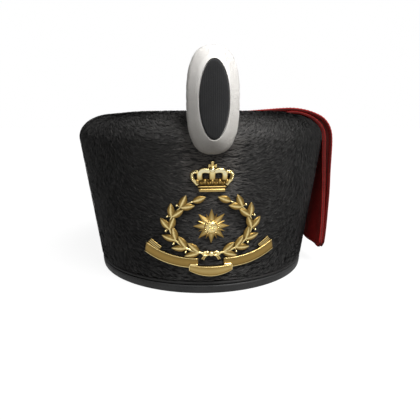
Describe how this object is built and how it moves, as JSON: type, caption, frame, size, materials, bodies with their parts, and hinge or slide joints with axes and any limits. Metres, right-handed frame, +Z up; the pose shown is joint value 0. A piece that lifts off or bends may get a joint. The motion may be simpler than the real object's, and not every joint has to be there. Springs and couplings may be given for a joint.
{
  "type": "busby",
  "caption": "Flared black fur busby on a leather rim, with a red cloth bag over the crown and down one side, a white oval pompon with a black centre and a gilt front badge.",
  "frame": {"origin": "on the floor under the middle of the whole hat's box", "axes": "+Z up, -Y towards the front of the hat with the badge, +X towards the wearer's left where the bag hangs"},
  "size_m": [0.2256, 0.259, 0.1726],
  "materials": {
    "fur": "short combed black fur pile",
    "leather": "dark grey-black binding leather, satin",
    "cord": "black covered piping cord",
    "red_cloth": "dark red felted wool cloth",
    "white_wool": "off-white wool pile",
    "black_wool": "black wool felt",
    "gilt": "cast gilt metal, darker in its recesses",
    "steel": "plain pin"
  },
  "bodies": {
    "root": {"fur_body": "fur", "rim_band": "leather", "rim_piping": "cord", "bag_inner_leaf": "red_cloth", "bag_outer_leaf": "red_cloth", "bag_seam_web": "red_cloth", "pompon_ring": "white_wool", "pompon_centre": "black_wool", "pompon_pin": "steel", "badge_crown": "gilt", "badge_star": "gilt", "badge_wreath": "gilt", "badge_scroll": "gilt"}
  },
  "joints": []
}
